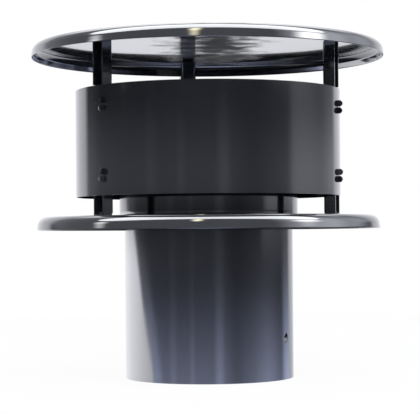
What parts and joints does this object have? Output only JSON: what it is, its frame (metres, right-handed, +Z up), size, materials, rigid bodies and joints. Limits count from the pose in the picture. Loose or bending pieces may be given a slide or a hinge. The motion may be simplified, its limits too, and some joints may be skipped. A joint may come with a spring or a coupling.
{
  "type": "roof vent cap",
  "caption": "Static roof vent cap: a round flue pipe with two rimmed discs and a short wind ring held between them on folded legs, in glossy graphite painted steel.",
  "frame": {"origin": "on the pipe's axis, at the pipe's open lower end", "axes": "+Z up along the pipe's axis, -Y towards the front as pictured, +X to the right"},
  "size_m": [0.335, 0.335, 0.3174],
  "materials": {
    "graphite_paint": "glossy graphite grey coating over sheet steel"
  },
  "bodies": {
    "root": {"flue_pipe": "graphite_paint", "lower_disc": "graphite_paint", "wind_ring": "graphite_paint", "top_disc": "graphite_paint", "leg_front_left": "graphite_paint", "leg_front_right": "graphite_paint", "leg_back": "graphite_paint", "lower_disc_rivets": "graphite_paint", "top_disc_rivets": "graphite_paint"}
  },
  "joints": []
}
